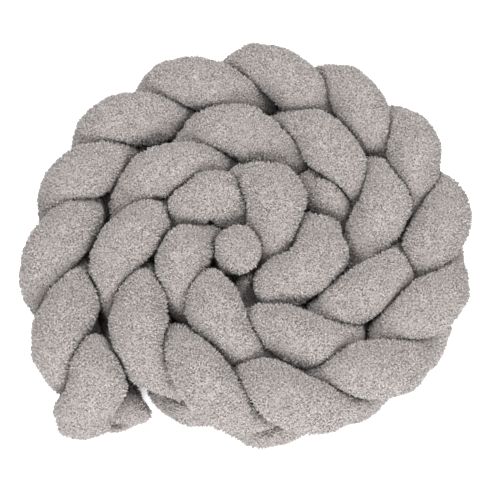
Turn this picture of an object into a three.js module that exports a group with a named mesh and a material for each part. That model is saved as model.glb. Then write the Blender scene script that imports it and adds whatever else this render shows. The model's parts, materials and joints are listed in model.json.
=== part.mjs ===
// Braided crib bumper: three stuffed tubes of looped-pile cloth in a plait, rolled up on its edge.
import * as THREE from "three";

// Driving sizes, in millimetres
const TUBE_RADIUS = 37;
const PLAIT_RISE = 94;
const FLOOR_PRESS = 7.5;
const CLOTH_GAP = 1.5;
const INNER_CAP = 28;
const FLOOR_TOUCH = 0.01;

// How the stuffing gives way: between crossings, to the tube pressed on from above, inside a bend, and
// into corners
const WAIST_SHARE = 0.09;
const UPPER_PUSH = 10;
const BEND_SHARE = 0.8;
const CORNER_SHARPNESS = 8;
const NEIGHBOUR_RANGE = 5 * TUBE_RADIUS;

// The weave, in crossings: how far a tube swings across, the stretch that it takes as straight, and those
// that its directions are taken over
const SWING_SHARE = 0.14;
const SELF_REACH = 0.3;
const SLOPE_STEP = 0.001;
const BEND_STEP = 0.15;
const HEADING_SPAN = 0.35;

// Fineness of the solids
const SECTIONS_PER_CROSSING = 7;
const SIDES = 12;
const CAP_RINGS = 4;
const NEIGHBOURS_PER_CROSSING = 24;

const CLOTH_COLOUR = 0xb3aaa5;
const STRANDS = 3;
const HALF = 0.5;
const QUARTER_TURN = Math.PI / 2;
const FULL_TURN = Math.PI * 2;
const UP = new THREE.Vector3(0, 0, 1);

// The plait as it lies rolled: each crossing of its upper edge in plan, how far the lower edge leans
// outwards of that, and the tubes' girth there as a share of the usual one
const CROSSINGS = [
  { count: -1, x: -154, y: -304, lean: 0, girth: 1.0 },
  { count: 0, x: -188, y: -219, lean: 0, girth: 1.0 },
  { count: 1, x: -234, y: -134, lean: 0, girth: 1.0 },
  { count: 2, x: -243, y: -19, lean: 0, girth: 1.0 },
  { count: 3, x: -220, y: 72, lean: 0, girth: 1.0 },
  { count: 4, x: -163, y: 155, lean: 0, girth: 1.0 },
  { count: 5, x: -64, y: 209, lean: 0, girth: 1.0 },
  { count: 6, x: 53, y: 218, lean: 0, girth: 1.0 },
  { count: 7, x: 151, y: 174, lean: 0, girth: 1.0 },
  { count: 8, x: 221, y: 99, lean: 0, girth: 1.0 },
  { count: 9, x: 245, y: -10, lean: 0, girth: 1.0 },
  { count: 10, x: 222, y: -111, lean: 3, girth: 1.0 },
  { count: 11, x: 154, y: -191, lean: -13, girth: 1.0 },
  { count: 12, x: 47, y: -223, lean: -3, girth: 1.0 },
  { count: 13, x: -54, y: -201, lean: 1, girth: 1.0 },
  { count: 14, x: -138, y: -128, lean: 10, girth: 1.0 },
  { count: 15, x: -155, y: -22, lean: 10, girth: 1.0 },
  { count: 16, x: -105, y: 79, lean: 0, girth: 1.0 },
  { count: 17, x: -7, y: 135, lean: 0, girth: 1.0 },
  { count: 18, x: 113, y: 105, lean: 0, girth: 1.0 },
  { count: 19, x: 178, y: 23, lean: 0, girth: 1.0 },
  { count: 20, x: 150, y: -92, lean: 0, girth: 1.0 },
  { count: 21, x: 64, y: -150, lean: 0, girth: 1.0 },
  { count: 22, x: -42, y: -116, lean: 0, girth: 1.0 },
  { count: 23, x: -80, y: -39, lean: 0, girth: 1.0 },
  { count: 24, x: -49, y: 41, lean: 0, girth: 1.05 },
  { count: 25, x: 36, y: 35, lean: 0, girth: 1.2 },
  { count: 26, x: 78, y: -63, lean: 0, girth: 1.1 },
  { count: 26.5, x: 24, y: -91, lean: 0, girth: 1.0 },
  { count: 27, x: -9, y: -32, lean: 0, girth: 0.97 },
  { count: 28, x: -11, y: -25, lean: 0, girth: 0.97 },
];

// How each tube lies at the outer end: where it ends and the length that is splayed there, how far that is
// moved outwards, along and up, how its section is spread and thinned, and how deep its rounded closing is
const OUTER_ENDS = [
  { count: -0.35, splay: 0.6, outwards: 9, along: 10, upwards: -22, spread: 1.36, thin: 0.62, cap: 20 },
  { count: -0.2, splay: 0.35, outwards: 6, along: 6, upwards: 0, spread: 1, thin: 0.8, cap: 20 },
  { count: -0.27, splay: 0.35, outwards: -8, along: 12, upwards: -8, spread: 0.55, thin: 0.75, cap: 42 },
];

// Where each tube ends in the middle of the roll
const INNER_ENDS = [26.9, 26.4, 26.3];

// Places where a tube lies off its even course: how far in plan and in height, and the length to each side
// over which it comes back, in crossings
const SHIFTS = [
  { strand: 2, count: -0.7, x: 52, y: 4, z: -22, length: 0.6 },
  { strand: 1, count: -0.05, x: 7, y: -2, z: -12, length: 0.35 },
  { strand: 0, count: 0.45, x: -5, y: 0, z: 6, length: 0.4 },
  { strand: 2, count: 12.6, x: 0, y: -5, z: 0, length: 0.6 },
  { strand: 2, count: 13.5, x: -8, y: 4, z: 0, length: 0.5 },
  { strand: 2, count: 23.55, x: 0, y: 0, z: -22, length: 0.6 },
  { strand: 0, count: 24.55, x: 0, y: 0, z: -18, length: 0.6 },
  { strand: 0, count: 25.35, x: 47, y: 50, z: 74, length: 0.5 },
  { strand: 1, count: 25.55, x: -18, y: -12, z: 0, length: 0.6 },
  { strand: 0, count: 26.2, x: -22, y: 0, z: -14, length: 0.5 },
  { strand: 2, count: 26.45, x: 0, y: -14, z: 0, length: 0.4 },
  { strand: 0, count: 26.5, x: -6, y: 66, z: -36, length: 0.5 },
  { strand: 1, count: 26.5, x: -32, y: 12, z: 34, length: 0.5 },
  { strand: 1, count: 26.6, x: -2, y: 16, z: 58, length: 0.35 },
  { strand: 0, count: 27, x: 0, y: 6, z: 4, length: 0.5 },
];

const counts = CROSSINGS.map((row) => row.count);
const columns = CROSSINGS.flatMap((row) => [row.x, row.y, row.lean, row.girth]);
const course = new THREE.CubicInterpolant(counts, columns, columns.length / counts.length);

// The plait at a place along it: where its upper edge lies, its directions, its lean and its girth
function plaitAt(count) {
  const [nextX, nextY] = course.evaluate(count + SLOPE_STEP);
  const [x, y, lean, girth] = course.evaluate(count);
  const place = new THREE.Vector3(x, y, 0);
  const along = new THREE.Vector3(nextX - x, nextY - y, 0).divideScalar(SLOPE_STEP);
  const crossingLength = along.length();
  along.normalize();
  const outwards = new THREE.Vector3().crossVectors(UP, along);
  return { place, along, outwards, crossingLength, lean, girth };
}

// A place's angle in a tube's weave: 0 where it crosses on the upper edge, half a turn on the lower one
function phaseAt(strand, count) {
  return (FULL_TURN * (count - strand)) / STRANDS;
}

// How far a place lies into a tube's splayed outer end: 0 in the plait, 1 at the end itself
function splayAt(strand, count) {
  const end = OUTER_ENDS[strand];
  return 1 - THREE.MathUtils.smoothstep(count, end.count, end.count + end.splay);
}

// How far a tube lies off its even course at a place
function shiftAt(strand, count) {
  const shift = new THREE.Vector3();
  for (const row of SHIFTS.filter((other) => other.strand === strand)) {
    const share = 1 - THREE.MathUtils.smoothstep(Math.abs(count - row.count), 0, row.length);
    shift.addScaledVector(new THREE.Vector3(row.x, row.y, row.z), share);
  }
  return shift;
}

// A tube's middle line: it climbs and falls once in three crossings, and swings across twice
function middleAt(strand, count) {
  const { place, along, outwards, crossingLength, lean } = plaitAt(count);
  const phase = phaseAt(strand, count);
  const climb = (1 + Math.cos(phase)) / 2;
  const end = OUTER_ENDS[strand];
  const splay = splayAt(strand, count);
  const swing = -SWING_SHARE * crossingLength * Math.sin(2 * phase);
  place.addScaledVector(outwards, swing + lean * (1 - climb) + end.outwards * splay);
  place.addScaledVector(along, end.along * splay);
  place.z = TUBE_RADIUS - FLOOR_PRESS + PLAIT_RISE * climb + end.upwards * splay;
  return place.add(shiftAt(strand, count));
}

// The way a tube heads at a place, over a stretch long enough that its sections turn evenly round the bends
function headingAt(strand, count) {
  return middleAt(strand, count + HEADING_SPAN).sub(middleAt(strand, count - HEADING_SPAN)).normalize();
}

// How sharply a tube bends at a place, towards the middle of the bend
function bendAt(strand, count) {
  const run = middleAt(strand, count + BEND_STEP).distanceTo(middleAt(strand, count - BEND_STEP));
  return headingAt(strand, count + BEND_STEP).sub(headingAt(strand, count - BEND_STEP)).divideScalar(run);
}

// One section of a tube: its middle, the directions of its plane and the half-widths it has when free.
// Beyond an end it lies deeper into the rounded closing by a quarter turn's share.
function sectionAt(strand, { count, depth, turn }) {
  const middle = middleAt(strand, count);
  const heading = headingAt(strand, count);
  const { outwards, girth } = plaitAt(count);
  const across = outwards.projectOnPlane(heading).normalize();
  const over = new THREE.Vector3().crossVectors(heading, across);
  const end = OUTER_ENDS[strand];
  const splay = splayAt(strand, count);
  const waist = 1 - WAIST_SHARE * Math.sin(phaseAt(strand, count)) ** 2;
  const radius = TUBE_RADIUS * girth * waist * Math.cos(turn);
  const wide = radius * THREE.MathUtils.lerp(1, end.spread, splay);
  const high = radius * THREE.MathUtils.lerp(1, end.thin, splay);
  middle.addScaledVector(heading, depth * Math.sin(turn));
  return { middle, across, over, wide, high, bend: bendAt(strand, count) };
}

// Evenly spaced stations along a tube, from its outer closing to its inner one
function stationsOf(strand, perCrossing) {
  const { count: outerEnd, cap: outerDepth } = OUTER_ENDS[strand];
  const innerEnd = INNER_ENDS[strand];
  const steps = Math.round((innerEnd - outerEnd) * perCrossing);
  const stations = [];
  for (let ring = CAP_RINGS; ring > 0; ring--) {
    stations.push({ count: outerEnd, depth: -outerDepth, turn: (QUARTER_TURN * ring) / CAP_RINGS });
  }
  for (let step = 0; step <= steps; step++) {
    stations.push({ count: THREE.MathUtils.lerp(outerEnd, innerEnd, step / steps), depth: 0, turn: 0 });
  }
  for (let ring = 1; ring <= CAP_RINGS; ring++) {
    stations.push({ count: innerEnd, depth: INNER_CAP, turn: (QUARTER_TURN * ring) / CAP_RINGS });
  }
  return stations;
}

// The station halfway between two
function stationBetween(a, b) {
  return {
    count: THREE.MathUtils.lerp(a.count, b.count, HALF),
    depth: a.depth || b.depth,
    turn: THREE.MathUtils.lerp(a.turn, b.turn, HALF),
  };
}

// The middles of every tube's stations, which a tube fills out against
const neighbours = [];
for (let strand = 0; strand < STRANDS; strand++) {
  for (const station of stationsOf(strand, NEIGHBOURS_PER_CROSSING)) {
    neighbours.push({ strand, count: station.count, middle: sectionAt(strand, station).middle });
  }
}

// The offsets from a place to the middle lines near it, other than the tube's own straight stretch
function offsetsNear(strand, count, place) {
  const offsets = [];
  for (const other of neighbours) {
    const own = other.strand === strand && Math.abs(other.count - count) <= SELF_REACH;
    if (!own && other.middle.distanceTo(place) < NEIGHBOUR_RANGE) {
      offsets.push(other.middle.clone().sub(place));
    }
  }
  return offsets;
}

// How far a section's stuffing goes in one direction: short of the neighbours and flat on the floor
function reachIn(section, offsets, direction, turn) {
  const free = 1 / Math.hypot(Math.cos(turn) / section.wide, Math.sin(turn) / section.high);
  const bending = direction.dot(section.bend);
  let contact = bending > 0 ? BEND_SHARE / bending : NEIGHBOUR_RANGE;
  for (const offset of offsets) {
    const facing = direction.dot(offset);
    if (facing > 0) {
      const share = offset.lengthSq() - UPPER_PUSH * offset.z;
      contact = Math.min(contact, share / (2 * facing) - CLOTH_GAP / 2);
    }
  }
  const reach = (free ** -CORNER_SHARPNESS + contact ** -CORNER_SHARPNESS) ** (-1 / CORNER_SHARPNESS);
  return direction.z < 0 ? Math.min(reach, section.middle.z / -direction.z) : reach;
}

// A station's points, each with its direction from the middle
function ringAt(strand, station) {
  const section = sectionAt(strand, station);
  const offsets = offsetsNear(strand, station.count, section.middle);
  return Array.from({ length: SIDES }, (_, side) => {
    const turn = (FULL_TURN * side) / SIDES;
    const direction = section.across.clone().multiplyScalar(Math.cos(turn));
    direction.addScaledVector(section.over, Math.sin(turn));
    const reach = reachIn(section, offsets, direction, turn);
    const point = section.middle.clone().addScaledVector(direction, reach);
    return { point, direction, easing: 0 };
  });
}

// Flat faces bridge the dents that the neighbours press in, so the points at both ends ease in for that
function easeDents(before, between, after) {
  for (let side = 0; side < SIDES; side++) {
    const bridge = before[side].point.clone().lerp(after[side].point, HALF).sub(between[side].point);
    const easing = bridge.dot(between[side].direction);
    before[side].easing = Math.max(before[side].easing, easing);
    after[side].easing = Math.max(after[side].easing, easing);
  }
}

// The rings of a tube, one for each station, eased in at its dents and flat on the floor
function ringsOf(strand, stations) {
  const rings = stations.map((station) => ringAt(strand, station));
  for (let i = 0; i + 1 < stations.length; i++) {
    const between = ringAt(strand, stationBetween(stations[i], stations[i + 1]));
    easeDents(rings[i], between, rings[i + 1]);
  }
  return rings.map((ring) => ring.map(({ point, direction, easing }) => {
    const eased = point.clone().addScaledVector(direction, -easing);
    eased.z = point.z < FLOOR_TOUCH ? point.z : eased.z;
    return eased;
  }));
}

// Two triangles over four points, folded along the diagonal that lies nearer the tube's middle
function quad(points, middle, a, b, c, d) {
  const oneWay = points[a].clone().add(points[c]).divideScalar(2);
  const otherWay = points[b].clone().add(points[d]).divideScalar(2);
  if (oneWay.distanceTo(middle) < otherWay.distanceTo(middle)) {
    return [a, b, c, a, c, d];
  }
  return [a, b, d, b, c, d];
}

// A closed skin over the rings of one tube, with a point at the middle of each end
function skin(rings, middles) {
  const points = [...rings.flat(), middles.at(0), middles.at(-1)];
  const first = points.length - 2;
  const last = points.length - 1;
  const faces = [];
  for (let side = 0; side < SIDES; side++) {
    const next = (side + 1) % SIDES;
    for (let ring = 0; ring + 1 < rings.length; ring++) {
      const here = ring * SIDES;
      const there = here + SIDES;
      const middle = middles[ring + 1].clone().lerp(middles[ring + 2], HALF);
      faces.push(...quad(points, middle, here + side, here + next, there + next, there + side));
    }
    const end = (rings.length - 1) * SIDES;
    faces.push(first, next, side, last, end + side, end + next);
  }
  const geometry = new THREE.BufferGeometry().setFromPoints(points);
  geometry.setIndex(faces);
  return geometry;
}

// One stuffed tube of the plait
function tube(strand) {
  const stations = stationsOf(strand, SECTIONS_PER_CROSSING);
  const middles = stations.map((station) => sectionAt(strand, station).middle);
  const rings = ringsOf(strand, stations.slice(1, -1));
  const cloth = new THREE.MeshStandardMaterial({ color: CLOTH_COLOUR, roughness: 1, metalness: 0 });
  const mesh = new THREE.Mesh(skin(rings, middles), cloth);
  mesh.name = `strand_${strand + 1}`;
  return mesh;
}

const bumper = new THREE.Group();
bumper.name = "braided_crib_bumper";
for (let strand = 0; strand < STRANDS; strand++) {
  bumper.add(tube(strand));
}

export default bumper;
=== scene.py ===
"""Braided crib bumper: three stuffed tubes of looped-pile cloth, plaited and rolled up on edge."""

import json
import math

import bpy
import numpy as np
from bpy.props import FloatProperty, FloatVectorProperty, IntProperty, PointerProperty
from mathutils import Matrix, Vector
from mathutils.bvhtree import BVHTree

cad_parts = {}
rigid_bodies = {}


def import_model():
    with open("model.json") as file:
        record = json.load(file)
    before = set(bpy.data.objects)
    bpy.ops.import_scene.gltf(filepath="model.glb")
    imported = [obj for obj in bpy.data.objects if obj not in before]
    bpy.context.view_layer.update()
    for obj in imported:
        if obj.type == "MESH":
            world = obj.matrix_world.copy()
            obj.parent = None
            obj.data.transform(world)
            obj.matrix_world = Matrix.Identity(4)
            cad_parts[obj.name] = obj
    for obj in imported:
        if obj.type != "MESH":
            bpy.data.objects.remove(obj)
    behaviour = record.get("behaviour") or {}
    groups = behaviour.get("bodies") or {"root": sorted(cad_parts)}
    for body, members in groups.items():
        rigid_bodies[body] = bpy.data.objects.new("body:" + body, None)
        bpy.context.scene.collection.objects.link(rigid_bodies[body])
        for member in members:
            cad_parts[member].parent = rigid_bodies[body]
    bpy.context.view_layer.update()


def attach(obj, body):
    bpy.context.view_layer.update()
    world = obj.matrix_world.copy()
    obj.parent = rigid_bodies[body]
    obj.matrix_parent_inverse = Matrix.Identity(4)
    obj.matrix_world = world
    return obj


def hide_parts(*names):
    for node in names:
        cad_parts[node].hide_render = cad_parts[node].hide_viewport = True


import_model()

bl_info = {
    "name": "Braided crib bumper",
    "version": (1, 0, 0),
    "blender": (4, 5, 0),
    "location": "View3D > Sidebar > Bumper",
    "description": "Stuffed and plaited tubes of looped-pile cloth, rolled up on edge",
    "category": "Object",
}

MM = 0.001
IMAGE_SIDE = 490
SEED = 7

# The least length or share that anything is divided by
TINY = 0.001

# The map for the tubes' baked colours, where a tube's skin lies in a few rows
BAKE_MAP = "OFBake"
MAP_ROWS = 4

# The tubes, in millimetres
STRANDS = 3
TUBE_RADIUS = 37
PLAIT_RISE = 94
FLOOR_PRESS = 7.5
INNER_CAP = 28

# How the stuffing gives way: between crossings, to a tube that presses from above, in a bend and in corners
WAIST_SHARE = 0.09
UPPER_PUSH = 10
BEND_SHARE = 0.8
CORNER_SHARPNESS = 10
NEIGHBOUR_RANGE = 5 * TUBE_RADIUS

# How round a section's corners are in the plait and at a tube's ends, in millimetres, the inner end's length
# in crossings, the most of a section's least reach that a corner takes, and how often its search is halved
CORNER_RADIUS = 26
END_CORNER_RADIUS = 18
INNER_ENDING = 0.7
CORNER_LIMIT = 0.95
CORNER_HALVINGS = 12

# The weave: how far a tube swings across, as a share of a crossing, and in crossings the stretch of itself
# that it takes as straight and the stretches that its directions are taken over
SWING_SHARE = 0.14
SELF_REACH = 0.3
SLOPE_STEP = 0.001
BEND_STEP = 0.15
HEADING_SPAN = 0.35

# Fineness of the tubes, and of the middle lines that they fill out against
SECTIONS_PER_CROSSING = 28
SIDES = 64
CAP_RINGS = 10
NEIGHBOURS_PER_CROSSING = 24
NEIGHBOUR_CAP_RINGS = 4

# The corners of a face between two rings
QUAD_CORNERS = 4

# Each crossing of the plait's upper edge: count, x, y, the lower edge's outward lean, girth
CROSSINGS = np.array([
    (-1, -154, -304, 0, 1.0),
    (0, -188, -219, 0, 1.0),
    (1, -234, -134, 0, 1.0),
    (2, -243, -19, 0, 1.0),
    (3, -220, 72, 0, 1.0),
    (4, -163, 155, 0, 1.0),
    (5, -64, 209, 0, 1.0),
    (6, 53, 218, 0, 1.0),
    (7, 151, 174, 0, 1.0),
    (8, 221, 99, 0, 1.0),
    (9, 245, -10, 0, 1.0),
    (10, 222, -111, 3, 1.0),
    (11, 154, -191, -13, 1.0),
    (12, 47, -223, -3, 1.0),
    (13, -54, -201, 1, 1.0),
    (14, -138, -128, 10, 1.0),
    (15, -155, -22, 10, 1.0),
    (16, -105, 79, 0, 1.0),
    (17, -7, 135, 0, 1.0),
    (18, 113, 105, 0, 1.0),
    (19, 178, 23, 0, 1.0),
    (20, 150, -92, 0, 1.0),
    (21, 64, -150, 0, 1.0),
    (22, -42, -116, 0, 1.0),
    (23, -80, -39, 0, 1.0),
    (24, -49, 41, 0, 1.05),
    (25, 36, 35, 0, 1.2),
    (26, 78, -63, 0, 1.1),
    (26.5, 24, -91, 0, 1.0),
    (27, -9, -32, 0, 0.97),
    (28, -11, -25, 0, 0.97),
])

# How each tube lies at the outer end: where it ends and how long it splays, in crossings, its moves, how wide
# and how thin its section gets, and how deep its closing is
OUTER_ENDS = (
    dict(count=-0.35, splay=0.6, outwards=9, along=10, upwards=-22, spread=1.36, thin=0.62, cap=20),
    dict(count=-0.2, splay=0.35, outwards=6, along=6, upwards=0, spread=1, thin=0.8, cap=20),
    dict(count=-0.27, splay=0.35, outwards=-8, along=12, upwards=-8, spread=0.55, thin=0.75, cap=42),
)

# Where each tube ends inside the roll, in crossings
INNER_ENDS = (26.9, 26.4, 26.3)

# Places where a tube lies off its even course: how far in plan and in height, and over what length
SHIFTS = (
    dict(strand=2, count=-0.7, x=52, y=4, z=-22, length=0.6),
    dict(strand=1, count=-0.05, x=7, y=-2, z=-12, length=0.35),
    dict(strand=0, count=0.45, x=-5, y=0, z=6, length=0.4),
    dict(strand=2, count=12.6, x=0, y=-5, z=0, length=0.6),
    dict(strand=2, count=13.5, x=-8, y=4, z=0, length=0.5),
    dict(strand=2, count=23.55, x=0, y=0, z=-22, length=0.6),
    dict(strand=0, count=24.55, x=0, y=0, z=-18, length=0.6),
    dict(strand=0, count=25.35, x=47, y=50, z=74, length=0.5),
    dict(strand=1, count=25.55, x=-18, y=-12, z=0, length=0.6),
    dict(strand=0, count=26.2, x=-22, y=0, z=-14, length=0.5),
    dict(strand=2, count=26.45, x=0, y=-14, z=0, length=0.4),
    dict(strand=0, count=26.5, x=-6, y=66, z=-36, length=0.5),
    dict(strand=1, count=26.5, x=-32, y=12, z=34, length=0.5),
    dict(strand=1, count=26.6, x=-2, y=16, z=58, length=0.35),
    dict(strand=0, count=27, x=0, y=6, z=4, length=0.5),
)

# Lumps and folds: the shortest and the longest of their waves in millimetres and how many there are, how free
# of its neighbours a place must be to bulge, and how sharp a bend must be to gather
LUMP_WAVES = (22, 70, 14)
GATHER_WAVES = (25, 60, 8)
PRESSED_TO_FREE = (0.85, 1.25)
GATHERED_BEND = (0.15, 0.6)

# Where pile shows: rays, in metres, from every few rings and sides of a tube, past the tubes and the floor
SKY_RAYS = 24
SKY_REACH = 0.09
SKY_START = 0.003
SKY_LIFT = 1.05
SKY_RINGS = 3
SKY_SIDES = 4
FLOOR_CORNERS = ((-1, -1), (1, -1), (1, 1), (-1, 1))
# Places this hidden get no tufts, so the darker ground shows bare there as painted shade in the creases
HIDDEN_TO_OPEN = (0.0, 0.04)

# A tuft, a leaning spike with three corners at its foot: the spread of its sizes, how far its tip rises and
# leans, how deep its foot is set, its faces and its size on the map
TUFT_FOOT = tuple((math.cos(turn), math.sin(turn)) for turn in (0, math.tau / 3, -math.tau / 3))
TUFT_CORNERS = 4
TUFT_FACES = np.array([(0, 1, 3), (1, 2, 3), (2, 0, 3), (2, 1, 0)])
TUFT_SIZES = (0.75, 1.25)
TUFT_RISES = (0.6, 1.5)
TUFT_LEANS = (-0.2, 0.7)
TUFT_SINK = 0.35
TUFT_MAP = 0.006

# The yarn's patterns: fine flecks of dark and light yarn, greyer patches, and curls
YARN_GROUP = "boucle_yarn"
FLECK_NOISE = dict(Scale=425.0, Detail=2.0, Roughness=0.6)
FLECK_RANGE = (0.35, 0.58)
PATCH_NOISE = dict(Scale=38.0, Detail=2.0, Roughness=0.5)
PATCH_RANGE = (0.4, 0.7)
PATCH_SHARE = 0.35
CURL_NOISE = dict(Scale=520.0, Detail=2.0, Roughness=0.6, Distortion=1.2)
CURL_BUMP = dict(Strength=0.5, Distance=1.2 * MM)

# The cloth's matt surface, and the colours that its ground and its pile are multiplied by: the ground is
# darker, partly as the cloth's own darker ground between the loops, partly as painted shade in the bare
# creases
CLOTH_SURFACE = {"Roughness": 1.0, "Specular IOR Level": 0.1, "Sheen Weight": 0.03, "Sheen Roughness": 0.5}
GROUND_TONE_AND_CREASE_SHADE = (0.66, 0.64, 0.632)
PILE_SHADE = (1.0, 1.0, 1.0)

# A colour mix's sockets: its share and two colours, and what it gives
MIX_INPUTS = (0, 6, 7)
MIX_RESULT = 2

# The stage: the floor's finish, the backdrop's colour, and large soft lamps that face the object, with angles
# in degrees, distance and side in metres, and share of the lamp power
FLOOR_ROUGHNESS = 0.9
WHITE = (1, 1, 1)
SOFTBOXES = (
    dict(azimuth=0, elevation=85, distance=2.2, side=1.4, share=0.42),
    dict(azimuth=0, elevation=24, distance=2.2, side=1.2, share=1.8),
    dict(azimuth=90, elevation=45, distance=2.2, side=1.2, share=0.92),
    dict(azimuth=180, elevation=45, distance=2.2, side=1.2, share=0.83),
    dict(azimuth=270, elevation=45, distance=2.2, side=1.2, share=0.76),
)

# What Blender adds to a group of settings, which the panel leaves out
BUILT_IN_PROPERTIES = ("rna_type", "name")


def unit(vectors):
    """Vectors of length 1 in the same directions."""
    return vectors / np.linalg.norm(vectors, axis=-1, keepdims=True)


def dot(a, b):
    """The dot products of vectors with vectors."""
    return (a * b).sum(-1)


def smoothstep(value, low, high):
    """A smooth step from 0 at a low value to 1 at a high one."""
    share = np.clip((value - low) / (high - low), 0, 1)
    return share * share * (3 - 2 * share)


def waves(places, rng, shortest, longest, amount):
    """Smooth uneven values about 0 at places, from crossed waves of many lengths."""
    total = np.zeros(places.shape[:-1])
    for length in np.geomspace(shortest, longest, amount):
        way = rng.normal(size=3)
        way = way / np.linalg.norm(way) * (2 * math.pi / length)
        total += np.cos(places @ way + rng.uniform(0, 2 * math.pi))
    return total / math.sqrt(amount / 2)


def course_at(count):
    """The rolled plait's course at places along it: x, y, lean and girth, smooth through the table's rows."""
    counts, values = CROSSINGS[:, 0], CROSSINGS[:, 1:]
    secants = np.diff(values, axis=0) / np.diff(counts)[:, None]
    slopes = (np.vstack([secants[:1], secants]) + np.vstack([secants, secants[-1:]])) / 2
    row = np.clip(np.searchsorted(counts, count, side="right") - 1, 0, len(counts) - 2)
    step = (counts[row + 1] - counts[row])[:, None]
    share = (count - counts[row])[:, None] / step
    rest = 1 - share
    start = values[row] * (1 + 2 * share) * rest ** 2 + slopes[row] * step * share * rest ** 2
    end = values[row + 1] * (3 - 2 * share) * share ** 2 - slopes[row + 1] * step * rest * share ** 2
    return start + end


def plait_at(count):
    """The plait's upper edge at places along it: place, directions, a crossing's length, lean and girth."""
    here = course_at(count)
    ahead = course_at(count + SLOPE_STEP)
    level = np.zeros(len(count))
    along = (ahead - here)[:, :2] / SLOPE_STEP
    length = np.linalg.norm(along, axis=1)
    along = np.column_stack([along / length[:, None], level])
    outwards = np.column_stack([-along[:, 1], along[:, 0], level])
    return np.column_stack([here[:, :2], level]), along, outwards, length, here[:, 2], here[:, 3]


def phase_at(strand, count):
    """A place's angle in a tube's weave: 0 where the tube is highest, half a turn where it is lowest."""
    return 2 * math.pi * (count - strand) / STRANDS


def splay_at(strand, count):
    """How far a place lies into a tube's splayed outer end: 0 in the plait, 1 at the end itself."""
    end = OUTER_ENDS[strand]
    return 1 - smoothstep(count, end["count"], end["count"] + end["splay"])


def shift_at(strand, count):
    """How far a tube lies off its even course at places."""
    shift = np.zeros((len(count), 3))
    for row in SHIFTS:
        if row["strand"] == strand:
            share = 1 - smoothstep(abs(count - row["count"]), 0, row["length"])
            shift += share[:, None] * (row["x"], row["y"], row["z"])
    return shift


def middle_at(strand, count):
    """A tube's middle line: it climbs and falls once in three crossings, and swings across twice."""
    place, along, outwards, length, lean, _ = plait_at(count)
    phase = phase_at(strand, count)
    climb = (1 + np.cos(phase)) / 2
    end = OUTER_ENDS[strand]
    splay = splay_at(strand, count)
    across = lean * (1 - climb) + end["outwards"] * splay - SWING_SHARE * length * np.sin(2 * phase)
    place = place + outwards * across[:, None] + along * (end["along"] * splay)[:, None]
    place[:, 2] = TUBE_RADIUS - FLOOR_PRESS + PLAIT_RISE * climb + end["upwards"] * splay
    return place + shift_at(strand, count)


def heading_at(strand, count):
    """The way a tube heads at a place, over a stretch long enough that its sections turn evenly."""
    return unit(middle_at(strand, count + HEADING_SPAN) - middle_at(strand, count - HEADING_SPAN))


def bend_at(strand, count):
    """How sharply a tube bends at a place, towards the middle of the bend."""
    before, after = count - BEND_STEP, count + BEND_STEP
    run = np.linalg.norm(middle_at(strand, after) - middle_at(strand, before), axis=1)
    return (heading_at(strand, after) - heading_at(strand, before)) / run[:, None]


def stations_of(strand, per_crossing, cap_rings):
    """Stations along a tube from its outer closing to its inner one: count, cap depth and cap turn."""
    outer, inner = OUTER_ENDS[strand]["count"], INNER_ENDS[strand]
    steps = round((inner - outer) * per_crossing)
    closing, level = np.ones(cap_rings), np.zeros(steps + 1)
    turns = np.arange(1, cap_rings + 1) * (math.pi / 2 / cap_rings)
    count = np.concatenate([outer * closing, np.linspace(outer, inner, steps + 1), inner * closing])
    depth = np.concatenate([-OUTER_ENDS[strand]["cap"] * closing, level, INNER_CAP * closing])
    turn = np.concatenate([turns[::-1], level, turns])
    return count, depth, turn


def capped_middles(strand, count, depth, turn):
    """The middles of a tube's stations, with those of its closings set on beyond its ends."""
    return middle_at(strand, count) + heading_at(strand, count) * (depth * np.sin(turn))[:, None]


def all_middles():
    """The middles of every tube's stations, which a tube fills out against: strand, count and place."""
    rows = []
    for strand in range(STRANDS):
        count, depth, turn = stations_of(strand, NEIGHBOURS_PER_CROSSING, NEIGHBOUR_CAP_RINGS)
        middles = capped_middles(strand, count, depth, turn)
        rows.append(np.column_stack([np.full(len(count), strand), count, middles]))
    return np.vstack(rows)


def round_corners(reach, ways, corners):
    """Sections with rounded corners, since stuffing does not fill them: the room that a disc can sweep."""
    rounded = np.empty_like(reach)
    for ring, row in enumerate(reach):
        edge = ways * row[:, None]
        radius = min(corners[ring], CORNER_LIMIT * row.min())
        near, far = np.zeros(len(row)), row
        for _ in range(CORNER_HALVINGS):
            half = (near + far) / 2
            room = np.linalg.norm((ways * half[:, None])[:, None] - edge, axis=-1).min(1)
            near, far = np.where(room < radius, near, half), np.where(room < radius, half, far)
        spots = ways * near[:, None]
        facing = ways @ spots.T
        inside = radius ** 2 - dot(spots, spots) + facing ** 2
        swept = np.where(inside > 0, facing + np.sqrt(np.maximum(inside, 0)), 0)
        rounded[ring] = np.minimum(swept.max(1), row)
    return rounded


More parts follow.
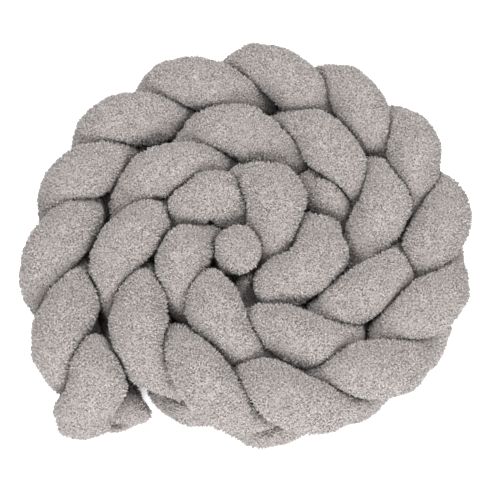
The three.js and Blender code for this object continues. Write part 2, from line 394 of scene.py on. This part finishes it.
class Tube:
    """A stuffed tube as rings of points: how far each is filled out, and how hard it is pressed there."""

    def __init__(self, strand, neighbours, settings):
        self.strand = strand
        self.count, depth, self.turn = stations_of(strand, SECTIONS_PER_CROSSING, CAP_RINGS)
        self.middles = capped_middles(strand, self.count, depth, self.turn)
        self.bend = bend_at(strand, self.count)
        heading = heading_at(strand, self.count)
        _, _, outwards, _, _, self.girth = plait_at(self.count)
        across = unit(outwards - heading * dot(outwards, heading)[:, None])
        over = np.cross(heading, across)
        angle = np.arange(SIDES) * (2 * math.pi / SIDES)
        self.ways = np.column_stack([np.cos(angle), np.sin(angle)])
        self.directions = across[:, None] * self.ways[:, :1] + over[:, None] * self.ways[:, 1:]
        free = self.free_reach(settings.pile_sink / MM)
        contact = self.contacts(neighbours, settings.cloth_gap / MM)
        self.pressed = contact / free
        filled = (free ** -CORNER_SHARPNESS + contact ** -CORNER_SHARPNESS) ** (-1 / CORNER_SHARPNESS)
        self.reach = round_corners(filled, self.ways, self.corner_radii())

    def free_reach(self, sink):
        """How far each point goes with nothing near: thinner between crossings, flared at the outer end."""
        end = OUTER_ENDS[self.strand]
        splay = splay_at(self.strand, self.count)
        waist = 1 - WAIST_SHARE * np.sin(phase_at(self.strand, self.count)) ** 2
        radius = (TUBE_RADIUS - sink) * self.girth * waist * np.cos(self.turn)
        wide = np.maximum(radius * (1 + (end["spread"] - 1) * splay), TINY)[:, None]
        high = np.maximum(radius * (1 + (end["thin"] - 1) * splay), TINY)[:, None]
        cos, sin = self.ways.T
        return 1 / np.hypot(cos / wide, sin / high)

    def contacts(self, neighbours, gap):
        """How far each point of each ring can go before it meets a neighbour or the inside of a bend."""
        contact = np.empty(self.directions.shape[:2])
        for ring, directions in enumerate(self.directions):
            near = abs(neighbours[:, 1] - self.count[ring]) <= SELF_REACH
            own = (neighbours[:, 0] == self.strand) & near
            offsets = neighbours[~own, 2:] - self.middles[ring]
            offsets = offsets[np.linalg.norm(offsets, axis=1) < NEIGHBOUR_RANGE]
            facing = np.maximum(directions @ offsets.T, TINY)
            share = dot(offsets, offsets) - UPPER_PUSH * offsets[:, 2]
            bending = np.maximum(directions @ self.bend[ring], TINY)
            contact[ring] = np.minimum((share / (2 * facing)).min(1) - gap / 2, BEND_SHARE / bending)
        return contact

    def corner_radii(self):
        """How round each ring's corners are, which is less towards the tube's ends."""
        inner = INNER_ENDS[self.strand]
        closing = smoothstep(self.count, inner - INNER_ENDING, inner)
        ending = np.maximum(splay_at(self.strand, self.count), closing)
        return CORNER_RADIUS + (END_CORNER_RADIUS - CORNER_RADIUS) * ending

    def make_uneven(self, settings, rng):
        """Add lumps in the stuffing, and folds across the inside of the bends."""
        places = self.middles[:, None] + self.directions * self.reach[:, :, None]
        room = smoothstep(self.pressed, *PRESSED_TO_FREE)
        lumps = waves(places, rng, *LUMP_WAVES) * settings.lump_depth / MM
        run = np.linalg.norm(np.diff(self.middles, axis=0, prepend=self.middles[:1]), axis=1).cumsum()
        inside = smoothstep(dot(self.directions, self.bend[:, None]) * TUBE_RADIUS, *GATHERED_BEND)
        warp = waves(places, rng, *GATHER_WAVES)
        folds = np.cos(run[:, None] * (2 * math.pi * MM / settings.gather_length) + warp)
        folds = np.minimum(folds, 0) * inside * settings.gather_depth / MM
        self.reach += np.minimum(lumps, 0) + np.maximum(lumps, 0) * room + folds

    def points(self, floor):
        """The points of all rings, flat where they meet the floor."""
        down = np.minimum(self.directions[:, :, 2], -TINY)
        to_floor = (self.middles[:, None, 2] - floor) / -down
        reach = np.where(self.directions[:, :, 2] < 0, np.minimum(self.reach, to_floor), self.reach)
        return self.middles[:, None] + self.directions * reach[:, :, None]


class CribBumperSettings(bpy.types.PropertyGroup):
    """Sizes and colours of the cloth."""

    pile_sink: FloatProperty(
        name="Pile sink", description="How far the cloth's ground lies inside the tube's full girth",
        default=1.2 * MM, min=0, unit="LENGTH", subtype="DISTANCE")
    cloth_gap: FloatProperty(
        name="Cloth gap", description="Room between the grounds of two tubes that press on each other",
        default=0.8 * MM, min=0, unit="LENGTH", subtype="DISTANCE")
    floor_lift: FloatProperty(
        name="Floor lift", description="Height of the squashed pile under the tubes",
        default=0.8 * MM, min=0, unit="LENGTH", subtype="DISTANCE")
    lump_depth: FloatProperty(
        name="Lump depth", description="Unevenness of the stuffing",
        default=1.1 * MM, min=0, unit="LENGTH", subtype="DISTANCE")
    gather_depth: FloatProperty(
        name="Gather depth", description="Depth of the folds inside a tube's bends",
        default=2.0 * MM, min=0, unit="LENGTH", subtype="DISTANCE")
    gather_length: FloatProperty(
        name="Gather length", description="Distance from fold to fold inside a bend",
        default=17 * MM, min=MM, unit="LENGTH", subtype="DISTANCE")
    fill: FloatProperty(
        name="Fill", description="How tightly the tubes are stuffed",
        default=0.8, min=0, max=1, subtype="FACTOR")
    tuft_count: IntProperty(
        name="Tufts", description="Tufts of pile on each tube", default=49000, min=1)
    tuft_height: FloatProperty(
        name="Tuft height", description="How far a tuft stands out of the cloth's ground",
        default=2.6 * MM, min=0, unit="LENGTH", subtype="DISTANCE")
    tuft_width: FloatProperty(
        name="Tuft width", description="Width of a tuft at its foot",
        default=3.4 * MM, min=0, unit="LENGTH", subtype="DISTANCE")
    light_colour: FloatVectorProperty(
        name="Light yarn", description="Colour of the pile's light yarn",
        default=(0.33, 0.307, 0.297), min=0, max=1, subtype="COLOR")
    dark_colour: FloatVectorProperty(
        name="Dark yarn", description="Colour of the pile's dark yarn",
        default=(0.08, 0.073, 0.07), min=0, max=1, subtype="COLOR")
    grey_colour: FloatVectorProperty(
        name="Grey yarn", description="Colour of the pile's greyer patches",
        default=(0.235, 0.227, 0.220), min=0, max=1, subtype="COLOR")


class CribBumperStage(bpy.types.PropertyGroup):
    """The floor, the lights and the camera."""

    floor_side: FloatProperty(
        name="Floor side", description="Side of the floor",
        default=1.8, unit="LENGTH", subtype="DISTANCE")
    floor_colour: FloatVectorProperty(
        name="Floor colour", description="Colour of the floor",
        default=(0.92, 0.92, 0.92), min=0, max=1, subtype="COLOR")
    sky_strength: FloatProperty(
        name="Sky strength", description="Even light from all round", default=0.05, min=0)
    backdrop_strength: FloatProperty(
        name="Backdrop strength", description="Brightness of the backdrop beyond the floor",
        default=1.0, min=0)
    lamp_power: FloatProperty(
        name="Lamp power", description="Power that each soft lamp gives its share of",
        default=62.0, min=0, unit="POWER")
    elevation: FloatProperty(
        name="Elevation", description="Camera's angle above the floor",
        default=math.radians(70), subtype="ANGLE")
    distance: FloatProperty(
        name="Distance", description="Camera's distance from its target",
        default=1.4, unit="LENGTH", subtype="DISTANCE")
    pixel: FloatProperty(
        name="Pixel", description="Width of a pixel at the target",
        default=1.3 * MM, unit="LENGTH", subtype="DISTANCE")
    target: FloatVectorProperty(
        name="Target", description="The place that the camera and the lamps face",
        default=(-0.004, -0.025, 0.123), subtype="TRANSLATION")


def new_node(tree, kind, **values):
    """A node of this kind, with its named inputs set."""
    node = tree.nodes.new(kind)
    for name, value in values.items():
        node.inputs[name.replace("_", " ")].default_value = value
    return node


def opaque(colour):
    """A colour with full alpha."""
    return (*colour, 1)


def noise(tree, place, values):
    """A noise pattern's values at a place."""
    texture = new_node(tree, "ShaderNodeTexNoise", **values)
    tree.links.new(place, texture.inputs["Vector"])
    return texture.outputs["Fac"]


def spread(tree, value, bounds, top):
    """A pattern's values between two bounds, spread from 0 up to a top value."""
    ranged = new_node(tree, "ShaderNodeMapRange", From_Min=bounds[0], From_Max=bounds[1], To_Max=top)
    tree.links.new(value, ranged.inputs["Value"])
    return ranged.outputs["Result"]


def colour_mix(tree, *values, blend_type="MIX"):
    """Two colours mixed by a share, each of the three a constant or another node's output."""
    mix = tree.nodes.new("ShaderNodeMix")
    mix.data_type = "RGBA"
    mix.blend_type = blend_type
    for index, value in zip(MIX_INPUTS, values):
        if isinstance(value, bpy.types.NodeSocket):
            tree.links.new(value, mix.inputs[index])
        else:
            mix.inputs[index].default_value = value
    return mix.outputs[MIX_RESULT]


def yarn_group():
    """The pile's uneven yarn, built once: its colour and the height of its curls, by place."""
    found = bpy.data.node_groups.get(YARN_GROUP)
    if found:
        return found
    settings = bpy.context.scene.crib_bumper
    tree = bpy.data.node_groups.new(YARN_GROUP, "ShaderNodeTree")
    tree.interface.new_socket("Colour", in_out="OUTPUT", socket_type="NodeSocketColor")
    tree.interface.new_socket("Height", in_out="OUTPUT", socket_type="NodeSocketFloat")
    place = tree.nodes.new("ShaderNodeTexCoord").outputs["Object"]
    flecks = spread(tree, noise(tree, place, FLECK_NOISE), FLECK_RANGE, 1.0)
    yarns = colour_mix(tree, flecks, opaque(settings.dark_colour), opaque(settings.light_colour))
    patches = spread(tree, noise(tree, place, PATCH_NOISE), PATCH_RANGE, PATCH_SHARE)
    toned = colour_mix(tree, patches, yarns, opaque(settings.grey_colour))
    out = tree.nodes.new("NodeGroupOutput")
    tree.links.new(toned, out.inputs["Colour"])
    tree.links.new(noise(tree, place, CURL_NOISE), out.inputs["Height"])
    return tree


def cloth_material(name, shade):
    """Matt looped-pile cloth, with its yarn's colours multiplied by a shade colour, which for the tubes'
    ground is partly painted shade.
    """
    cloth = bpy.data.materials.new(name)
    cloth.use_nodes = True
    tree = cloth.node_tree
    surface = tree.nodes["Principled BSDF"]
    for socket, value in CLOTH_SURFACE.items():
        surface.inputs[socket].default_value = value
    yarn = tree.nodes.new("ShaderNodeGroup")
    yarn.node_tree = yarn_group()
    shaded = colour_mix(tree, 1.0, yarn.outputs["Colour"], opaque(shade), blend_type="MULTIPLY")
    tree.links.new(shaded, surface.inputs["Base Color"])
    bump = new_node(tree, "ShaderNodeBump", **CURL_BUMP)
    tree.links.new(yarn.outputs["Height"], bump.inputs["Height"])
    tree.links.new(bump.outputs["Normal"], surface.inputs["Normal"])
    return cloth


def mesh_object(name, points, faces, corner_map):
    """A smooth-shaded mesh object from points and groups of faces, with its map for baked colours."""
    mesh = bpy.data.meshes.new(name)
    mesh.from_pydata(points.tolist(), [], [row.tolist() for group in faces for row in group])
    layer = mesh.uv_layers.new(name=BAKE_MAP)
    layer.uv.foreach_set("vector", corner_map.astype(np.float32).ravel())
    mesh.shade_smooth()
    mesh.validate()
    piece = bpy.data.objects.new(name, mesh)
    bpy.context.scene.collection.objects.link(piece)
    return piece


def skin_map(rings):
    """The corners of a tube's skin on a square map, where it lies in rows with a little room between."""
    per_row = math.ceil(rings / MAP_ROWS)
    ring = np.arange(rings)
    row = np.minimum(ring // per_row, MAP_ROWS - 1)
    along = (ring - row * per_row) / (per_row + 1)
    step = along[1] - along[0]
    side = np.arange(SIDES)
    low, high = side / (SIDES + 1), (side + 1) / (SIDES + 1)
    middle = (low + high) / 2

    def spot(ring, across, ahead=0.0):
        ring, across = np.broadcast_arrays(ring, across)
        return np.stack([along[ring] + ahead, (row[ring] + across) / MAP_ROWS], -1)

    each, last = ring[:-1, None], rings - 1
    quads = np.stack([spot(each, low), spot(each, high), spot(each, high, step), spot(each, low, step)], 2)
    starts = np.stack([spot(0, middle, step), spot(0, high), spot(0, low)], 1)
    ends = np.stack([spot(last, middle, step), spot(last, low), spot(last, high)], 1)
    return np.vstack([corners.reshape(-1, 2) for corners in (quads, starts, ends)])


def skin(points, middles):
    """A closed skin over a tube's rings with a point at the middle of each end: points, faces and map."""
    rings = len(points)
    first, last = rings * SIDES, rings * SIDES + 1
    side = np.arange(SIDES)
    after = (side + 1) % SIDES
    here = np.arange(rings - 1)[:, None] * SIDES
    there = here + SIDES
    quads = np.stack([here + side, here + after, there + after, there + side], -1).reshape(-1, QUAD_CORNERS)
    end = (rings - 1) * SIDES
    starts = np.column_stack([np.full(SIDES, first), after, side])
    ends = np.column_stack([np.full(SIDES, last), end + side, end + after])
    everything = np.vstack([points.reshape(-1, 3), middles[:1], middles[-1:]])
    return everything, (quads, starts, ends), skin_map(rings)


def strand_name(strand):
    """The name of a tube's solid."""
    return f"strand_{strand + 1}"


def tube_name(strand):
    """The name of the stuffed tube in a solid's place."""
    return strand_name(strand) + "_tube"


class CRIBBUMPER_OT_strands(bpy.types.Operator):
    """Make the stuffed tubes, filled out against each other and the floor, and gathered in their bends."""

    bl_idname = "crib_bumper.strands"
    bl_label = "Stuffed tubes"

    def execute(self, context):
        settings = context.scene.crib_bumper
        neighbours = all_middles()
        # The tubes' ground is darker than the pile, partly its own tone and partly painted shade where it
        # shows in the creases
        cloth = cloth_material("boucle_ground_and_crease_shade", GROUND_TONE_AND_CREASE_SHADE)
        for strand in range(STRANDS):
            tube = Tube(strand, neighbours, settings)
            tube.make_uneven(settings, np.random.default_rng(SEED + strand))
            # The first and the last ring have shrunk to points, and the skin has its own points there
            points = tube.points(settings.floor_lift / MM)[1:-1]
            piece = mesh_object(tube_name(strand), *skin(points * MM, tube.middles * MM))
            piece.data.materials.append(cloth)
            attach(piece, "root")
            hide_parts(strand_name(strand))
        return {"FINISHED"}


def openness(points, normals, shadows, rng):
    """How much of the room round each place is open: the share of rays from it that meet nothing near."""
    rays = unit(rng.normal(size=(SKY_RAYS, 3)))
    found = np.empty(len(points))
    for i, (point, normal) in enumerate(zip(points, normals)):
        ways = unit(rays + normal * SKY_LIFT)
        start = Vector(point + normal * SKY_START)
        free = sum(shadows.ray_cast(start, Vector(way), SKY_REACH)[0] is None for way in ways)
        found[i] = free / SKY_RAYS
    return found


def open_shares(quads, normals, shadows, rng):
    """How open each of a tube's side faces is, from a coarse net of them."""
    grid = np.arange(len(quads)).reshape(-1, SIDES)
    net = grid[::SKY_RINGS, ::SKY_SIDES]
    tested = net.ravel()
    seen = openness(quads.mean(1)[tested], normals[tested], shadows, rng).reshape(net.shape)
    return np.repeat(np.repeat(seen, SKY_RINGS, 0)[:len(grid)], SKY_SIDES, 1).ravel()


def side_faces(mesh):
    """A tube's faces without those of its end points: their corners' places, and their spots on the map."""
    corners = np.empty(len(mesh.loops), np.int32)
    mesh.loops.foreach_get("vertex_index", corners)
    places = np.empty((len(mesh.vertices), 3))
    mesh.vertices.foreach_get("co", places.ravel())
    spots = np.empty((len(mesh.loops), 2), np.float32)
    mesh.uv_layers[BAKE_MAP].uv.foreach_get("vector", spots.ravel())
    quads = sum(face.loop_total == QUAD_CORNERS for face in mesh.polygons)
    used = quads * QUAD_CORNERS
    return places[corners[:used]].reshape(quads, -1, 3), spots[:used].reshape(quads, -1, 2)


def spread_over(areas, amount, rng):
    """Places spread evenly over faces, one in each equal share of the areas: face and corner weights."""
    total = areas.cumsum()
    shares = (np.arange(amount) + rng.uniform(size=amount)) / amount
    face = np.searchsorted(total, shares * total[-1])
    u, v = rng.uniform(size=(2, amount, 1))
    return face, np.stack([(1 - u) * (1 - v), u * (1 - v), u * v, (1 - u) * v], 1)


def tufts(tube, shadows, settings, rng):
    """Leaning tufts at random places of a tube's open faces: points, faces and map."""
    quads, maps = side_faces(tube.data)
    cross = np.cross(quads[:, 2] - quads[:, 0], quads[:, 3] - quads[:, 1])
    normals, areas = unit(cross), np.linalg.norm(cross, axis=1) / 2
    # No tufts stand in hidden places, where the darker bare ground paints shade into the creases
    open_areas = areas * smoothstep(open_shares(quads, normals, shadows, rng), *HIDDEN_TO_OPEN)
    face, weights = spread_over(open_areas, settings.tuft_count, rng)
    foot, spot = (quads[face] * weights).sum(1), (maps[face] * weights).sum(1)
    normal = normals[face]
    lean = unit(np.cross(normal, rng.normal(size=normal.shape)))
    side = np.cross(normal, lean)
    size = rng.uniform(*TUFT_SIZES, size=(settings.tuft_count, 1))
    rise = settings.tuft_height * size * rng.uniform(*TUFT_RISES, size=size.shape)
    reach = settings.tuft_width * rng.uniform(*TUFT_LEANS, size=size.shape)
    ring = settings.tuft_width / 2 * size
    sunk = foot - normal * (settings.tuft_height * TUFT_SINK)
    corners = [sunk + (lean * ahead + side * across) * ring for ahead, across in TUFT_FOOT]
    points = np.stack([*corners, foot + normal * rise + lean * reach], 1)
    points[:, :, 2] = np.maximum(points[:, :, 2], 0)
    faces = np.arange(settings.tuft_count)[:, None, None] * TUFT_CORNERS + TUFT_FACES
    shape = np.array([*TUFT_FOOT, (0, 0)]) * (TUFT_MAP / MAP_ROWS)
    corner_map = spot[:, None, None] + shape[TUFT_FACES]
    return points.reshape(-1, 3), (faces.reshape(-1, 3),), corner_map.reshape(-1, 2)


class CRIBBUMPER_OT_pile(bpy.types.Operator):
    """Set tufts of looped pile on the tubes wherever they show."""

    bl_idname = "crib_bumper.pile"
    bl_label = "Looped pile"

    def execute(self, context):
        settings = context.scene.crib_bumper
        tubes = [bpy.data.objects[tube_name(strand)] for strand in range(STRANDS)]
        shadows = self.shadows(tubes)
        pile = cloth_material("boucle_pile", PILE_SHADE)
        for strand, tube in enumerate(tubes):
            rng = np.random.default_rng(SEED + STRANDS + strand)
            piece = mesh_object(strand_name(strand) + "_pile", *tufts(tube, shadows, settings, rng))
            piece.data.materials.append(pile)
            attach(piece, "root")
        return {"FINISHED"}

    @staticmethod
    def shadows(tubes):
        """All the tubes and the floor as one body that rays can meet."""
        points = [Vector((x, y, 0)) for x, y in FLOOR_CORNERS]
        faces = [list(range(len(points)))]
        for tube in tubes:
            first = len(points)
            points += [vertex.co for vertex in tube.data.vertices]
            faces += [[first + corner for corner in face.vertices] for face in tube.data.polygons]
        return BVHTree.FromPolygons(points, faces)


class CRIBBUMPER_OT_stage(bpy.types.Operator):
    """Set up the pale floor, the soft light and the camera."""

    bl_idname = "crib_bumper.stage"
    bl_label = "Floor, light and camera"

    def execute(self, context):
        stage = context.scene.crib_bumper_stage
        self.floor(context, stage)
        self.backdrop(context.scene, stage)
        for row in SOFTBOXES:
            self.lamp(context.scene, stage, **row)
        self.camera(context.scene, stage)
        context.scene.view_settings.view_transform = "Standard"
        return {"FINISHED"}

    @staticmethod
    def floor(context, stage):
        """The pale floor under the object."""
        bpy.ops.object.select_all(action="DESELECT")
        bpy.ops.mesh.primitive_plane_add(size=stage.floor_side)
        floor = context.active_object
        floor.name = "floor"
        pale = bpy.data.materials.new("pale_floor")
        pale.use_nodes = True
        surface = pale.node_tree.nodes["Principled BSDF"]
        surface.inputs["Base Color"].default_value = opaque(stage.floor_colour)
        surface.inputs["Roughness"].default_value = FLOOR_ROUGHNESS
        floor.data.materials.append(pale)

    @staticmethod
    def backdrop(scene, stage):
        """A bright backdrop for the camera, which gives only a weak even light."""
        world = bpy.data.worlds.new("studio")
        world.use_nodes = True
        tree = world.node_tree
        backdrop = tree.nodes["Background"]
        backdrop.inputs["Color"].default_value = opaque(WHITE)
        strength = new_node(
            tree, "ShaderNodeMapRange", To_Min=stage.sky_strength, To_Max=stage.backdrop_strength)
        seen = tree.nodes.new("ShaderNodeLightPath").outputs["Is Camera Ray"]
        tree.links.new(seen, strength.inputs["Value"])
        tree.links.new(strength.outputs["Result"], backdrop.inputs["Strength"])
        scene.world = world

    def lamp(self, scene, stage, azimuth, elevation, distance, side, share):
        """A large soft lamp that faces the object."""
        data = bpy.data.lights.new("softbox", "AREA")
        data.size = side
        data.energy = stage.lamp_power * share
        lamp = bpy.data.objects.new("softbox", data)
        scene.collection.objects.link(lamp)
        self.face_target(lamp, stage, math.radians(azimuth), math.radians(elevation), distance)

    def camera(self, scene, stage):
        """The camera at the photograph's angle, framing a square image."""
        data = bpy.data.cameras.new("camera")
        data.lens = data.sensor_width * stage.distance / stage.pixel / IMAGE_SIDE
        camera = bpy.data.objects.new("camera", data)
        scene.collection.objects.link(camera)
        self.face_target(camera, stage, 0, stage.elevation, stage.distance)
        scene.camera = camera

    @staticmethod
    def face_target(item, stage, azimuth, elevation, distance):
        """Set a lamp or camera at angles round the stage's target, facing it."""
        level = math.cos(elevation)
        back = Vector((math.sin(azimuth) * level, -math.cos(azimuth) * level, math.sin(elevation)))
        item.location = Vector(stage.target) + back * distance
        item.rotation_euler = (-back).to_track_quat("-Z", "Y").to_euler()


class CRIBBUMPER_PT_panel(bpy.types.Panel):
    """The bumper's settings and steps."""

    bl_label = "Braided crib bumper"
    bl_idname = "CRIBBUMPER_PT_panel"
    bl_space_type = "VIEW_3D"
    bl_region_type = "UI"
    bl_category = "Bumper"

    def draw(self, context):
        for settings in (context.scene.crib_bumper, context.scene.crib_bumper_stage):
            for name in settings.bl_rna.properties.keys():
                if name not in BUILT_IN_PROPERTIES:
                    self.layout.prop(settings, name)
        for step in STEPS:
            self.layout.operator(step.bl_idname)


STEPS = (CRIBBUMPER_OT_strands, CRIBBUMPER_OT_pile, CRIBBUMPER_OT_stage)
CLASSES = (CribBumperSettings, CribBumperStage, *STEPS, CRIBBUMPER_PT_panel)


def register():
    for item in CLASSES:
        bpy.utils.register_class(item)
    bpy.types.Scene.crib_bumper = PointerProperty(type=CribBumperSettings)
    bpy.types.Scene.crib_bumper_stage = PointerProperty(type=CribBumperStage)


def unregister():
    del bpy.types.Scene.crib_bumper_stage
    del bpy.types.Scene.crib_bumper
    for item in reversed(CLASSES):
        bpy.utils.unregister_class(item)


def main():
    register()
    bpy.ops.crib_bumper.strands()
    bpy.ops.crib_bumper.pile()
    bpy.ops.crib_bumper.stage()


if __name__ == "__main__":
    main()
